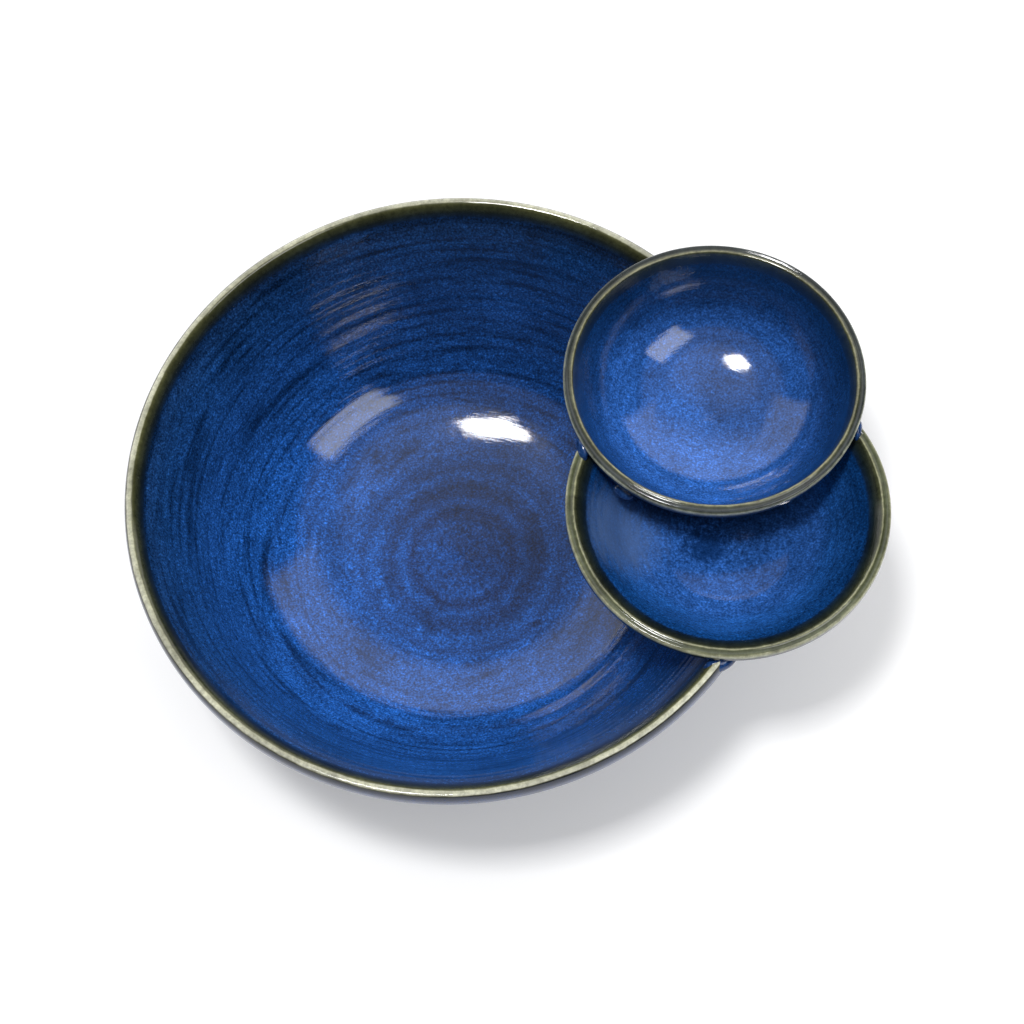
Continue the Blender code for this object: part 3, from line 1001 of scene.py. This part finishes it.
dip_rim = [
    (-0.0090, (0.004, 0.016, 0.048)),
    (-0.0050, (0.008, 0.014, 0.016)),
    (-0.0024, (0.018, 0.022, 0.013)),
    (-0.0010, (0.060, 0.065, 0.030)),
    (-0.0003, (0.30, 0.30, 0.18)),
    (0.0004, (0.065, 0.073, 0.034)),
    (0.0016, (0.055, 0.065, 0.031)),
    (0.0028, (0.11, 0.12, 0.060)),
    (0.0036, (0.36, 0.36, 0.24)),
    (0.0050, (0.34, 0.36, 0.26)),
    (0.0057, (0.06, 0.07, 0.055)),
    (0.0064, (0.007, 0.014, 0.032)),
    (0.0100, (0.008, 0.030, 0.100)),
    (0.0400, (0.010, 0.038, 0.130)),
]
upper_rim = [
    (-0.0090, (0.004, 0.016, 0.048)),
    (-0.0050, (0.008, 0.014, 0.016)),
    (-0.0024, (0.026, 0.032, 0.017)),
    (-0.0010, (0.055, 0.060, 0.028)),
    # The pale line at the inner edge is a glaze break, brightened as a painted highlight.
    (-0.0003, (0.26, 0.25, 0.15)),
    (0.0005, (0.050, 0.055, 0.030)),
    (0.0014, (0.020, 0.026, 0.022)),
    (0.0028, (0.018, 0.026, 0.030)),
    (0.0037, (0.10, 0.11, 0.08)),
    (0.0043, (0.40, 0.42, 0.33)),
    (0.0055, (0.34, 0.37, 0.31)),
    (0.0062, (0.03, 0.04, 0.045)),
    (0.0070, (0.006, 0.012, 0.030)),
    (0.0110, (0.008, 0.030, 0.100)),
    (0.0400, (0.010, 0.038, 0.130)),
]
# In these settings the side gains are painted light and shade: the first darkens each bowl's right and
# back, the second lightens its left and front.
chip_settings = {
    "painted_side_light": (0.72, 1.25),
    "speckle": 4.2,
    "grain": 2.4,
    "contrast": 1.15,
    "pooled": 0.55,
    "groove": 0.42,
    "lines_from": -0.14,
    "glaze_line": 0.0068,
    "patches": [],
    "gloss": (0.05, 0.09),
    "bump": 0.35,
}
dip_settings = {
    "painted_side_light": (0.80, 1.25),
    "speckle": 3.4,
    "grain": 2.4,
    "contrast": 1.05,
    "pooled": 0.80,
    "groove": 0.75,
    "lines_from": -0.06,
    "glaze_line": -1.0,
    "patches": [],
    "gloss": (0.05, 0.09),
    "bump": 0.3,
}
upper_axis = (UPPER_DIP.axis[0] + SHIFT, UPPER_DIP.axis[1])
lower_settings = dict(dip_settings)
# A spot of thicker glaze on the floor, a pale painted reflection on the wall, and painted shade under the
# upper bowl's lip:
# centre, where the fade begins and ends, colour, strength.
lower_settings["patches"] = [
    ((0.0931, -0.0340, 0.081), 0.005, 0.014, (0.001, 0.016, 0.075), 0.75),
    # Painted reflection: a pale sheen on the left wall.
    ((0.0530, -0.0285, 0.093), 0.008, 0.030, (0.085, 0.155, 0.340), 0.75),
    # Painted shade: the wall darkened where the upper bowl's lip overhangs it.
    ((*upper_axis, 0.095), 0.052, 0.074, (0.001, 0.006, 0.020), 0.9),
]
chip_glaze = glaze("chip_bowl_glaze", chip_inside, chip_rim, chip_settings)
upper_stops = dip_stops(UPPER_DIP, (0.020, 0.090, 0.330), (0.009, 0.050, 0.190), (0.003, 0.026, 0.095))
lower_stops = dip_stops(LOWER_DIP, (0.017, 0.074, 0.270), (0.013, 0.084, 0.310), (0.004, 0.036, 0.140))
upper_glaze = glaze("upper_dip_glaze", upper_stops, upper_rim, dip_settings)
lower_glaze = glaze("lower_dip_glaze", lower_stops, dip_rim, lower_settings)
seam_glaze = seam_material()

for item, node, material_slot, material in (
    (chip, "chip_bowl", "chip_bowl_glaze", chip_glaze),
    (lower, "lower_dip_bowl", "dip_bowl_glaze", lower_glaze),
    (upper, "upper_dip_bowl", "dip_bowl_glaze", upper_glaze),
    (outer_seam, "outer_seam_coil", "seam_glaze", seam_glaze),
    (inner_seam, "inner_seam_coil", "seam_glaze", seam_glaze),
    (dip_seam, "dip_seam_coil", "seam_glaze", seam_glaze),
    (outer_valley, "outer_valley_coil", "seam_glaze", seam_glaze),
    (inner_valley, "inner_valley_coil", "seam_glaze", seam_glaze),
):
    item.data.materials.clear()
    item.data.materials.append(material)
    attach(item, "root")
    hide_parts(node)

# ---------------------------------------------------------------- floor, light and camera

FLOOR_HALF = 6.0
FLOOR_LEVEL = -0.0002
corners = [(x * FLOOR_HALF, y * FLOOR_HALF, FLOOR_LEVEL) for x, y in ((-1, -1), (1, -1), (1, 1), (-1, 1))]
floor = mesh_object("floor", corners, [(0, 1, 2, 3)])
floor.data.materials.append(floor_material())


def area_light(name, place, size, radiance):
    """A soft box that faces the middle of the object."""
    light = bpy.data.lights.new(name, "AREA")
    light.shape = "RECTANGLE"
    light.size, light.size_y = size
    light.energy = radiance * math.pi * size[0] * size[1]
    item = bpy.data.objects.new(name, light)
    item.location = place
    item.rotation_euler = (LIT_POINT - Vector(place)).to_track_quat("-Z", "Y").to_euler()
    item.visible_camera = False
    bpy.context.scene.collection.objects.link(item)


LIT_POINT = Vector((0.0, 0.0, 0.05))
area_light("key", place=(-0.47, -0.10, 2.86), size=(0.46, 0.50), radiance=66.0)
area_light("fill", place=(0.96, -0.74, 1.56), size=(0.98, 0.74), radiance=3.6)

world = bpy.data.worlds.new("studio")
world.use_nodes = True
bpy.context.scene.world = world
tree = world.node_tree
background = tree.nodes["Background"]
coordinate = tree.nodes.new("ShaderNodeTexCoord")
split = tree.nodes.new("ShaderNodeSeparateXYZ")
tree.links.new(coordinate.outputs["Generated"], split.inputs[0])


def world_math(operation, a, b):
    made = tree.nodes.new("ShaderNodeMath")
    made.operation = operation
    for socket, value in zip(made.inputs, (a, b)):
        if isinstance(value, bpy.types.NodeSocket):
            tree.links.new(value, socket)
        else:
            socket.default_value = value
    return made.outputs[0]


def world_range(value, low, high, to_low, to_high):
    made = tree.nodes.new("ShaderNodeMapRange")
    made.interpolation_type = "SMOOTHSTEP"
    tree.links.new(value, made.inputs[0])
    for socket, x in zip(made.inputs[1:], (low, high, to_low, to_high)):
        socket.default_value = x
    return made.outputs[0]


# A pale screen behind the object, a ceiling that brightens overhead, and near darkness elsewhere.
screen_height = world_range(split.outputs["Z"], 0.78, 0.92, 1.15, 0.0)
aside = world_math("MULTIPLY", world_math("ABSOLUTE", split.outputs["X"], 0.0), 0.57)
screen_width = world_range(world_math("SUBTRACT", split.outputs["Y"], aside), -0.06, 0.06, 0.0, 1.0)
ceiling = world_range(split.outputs["Z"], 0.90, 0.97, 0.36, 0.85)
ceiling = world_math("MULTIPLY", ceiling, world_range(split.outputs["Z"], 0.68, 0.80, 0.0, 1.0))
strength = world_math("MAXIMUM", world_math("MULTIPLY", screen_height, screen_width), ceiling)
DARKNESS = 0.025
strength = world_math("ADD", strength, DARKNESS)
tree.links.new(strength, background.inputs["Strength"])
background.inputs["Color"].default_value = (1.0, 1.0, 1.0, 1.0)

# The camera looks along +Y and down, rolled a little.
ELEVATION, ROLL = math.radians(66.4), math.radians(-4.74)
DISTANCE = 0.9846
SENSOR, LENS = 36.0, 71.296875
TARGET = Vector((0.0264 + SHIFT, 0.0020, 0.056))
forward = Vector((0, math.cos(ELEVATION), -math.sin(ELEVATION)))
right = Vector((1, 0, 0))
up = right.cross(forward)
side = math.cos(ROLL) * right + math.sin(ROLL) * up
top = -math.sin(ROLL) * right + math.cos(ROLL) * up
camera_data = bpy.data.cameras.new("camera")
camera_data.sensor_width = SENSOR
camera_data.lens = LENS
camera = bpy.data.objects.new("camera", camera_data)
rotation = Matrix((side, top, -forward)).transposed().to_4x4()
camera.matrix_world = Matrix.Translation(TARGET - forward * DISTANCE) @ rotation
bpy.context.scene.collection.objects.link(camera)
bpy.context.scene.camera = camera
view = bpy.context.scene.view_settings
view.view_transform = "Standard"
view.look = "None"
view.exposure = 0.0
view.gamma = 1.0
